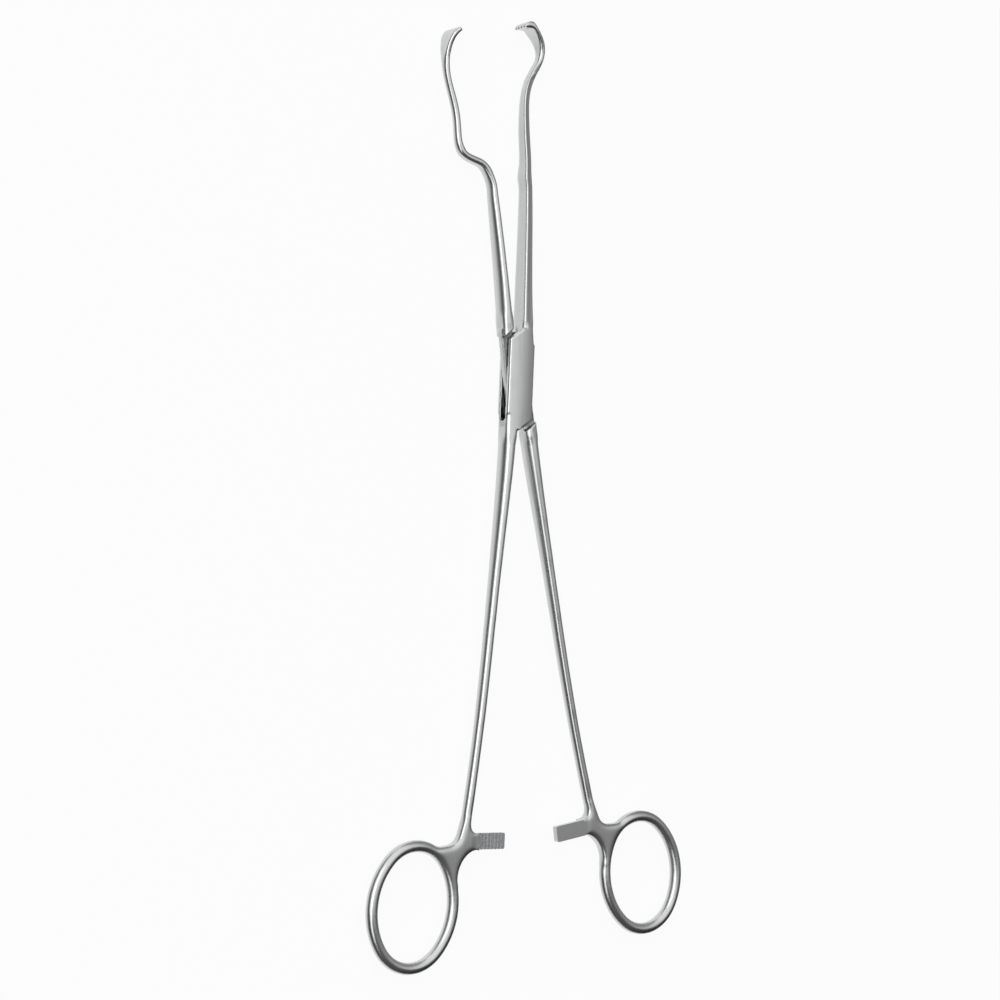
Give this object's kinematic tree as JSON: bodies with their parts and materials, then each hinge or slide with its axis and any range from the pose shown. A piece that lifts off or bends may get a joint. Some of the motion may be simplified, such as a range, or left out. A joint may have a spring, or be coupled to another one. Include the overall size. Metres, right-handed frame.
{
  "type": "ring-handled bone clamp",
  "caption": "Ring-handled clamp with a box lock and a finger ratchet: the straight jaw ends in a toothed hook, the stepped jaw in a flared, toothed edge.",
  "frame": {"origin": "where the hinge axis meets the back face of the box lock", "axes": "+Y along the clamp from the rings to the jaws, +Z along the hinge axis towards the pictured front, +X towards the hooked jaw; the two halves are turned evenly apart about the Y axis"},
  "size_m": [0.1012, 0.2391, 0.0067],
  "materials": {
    "satin_steel": "satin, glass-bead blasted and lightly polished on the edges",
    "pin_steel": "satin, ground flush with the box"
  },
  "bodies": {
    "female": {"female_half": "satin_steel", "box_lock_pin": "pin_steel"},
    "male": {"male_half": "satin_steel"}
  },
  "joints": [
    {"name": "box_lock_hinge", "type": "hinge", "parent": "female", "child": "male", "pos_m": [0, 0, 0.00265], "axis": [0, 0, 1], "range_deg": [-10.2, 45]}
  ]
}
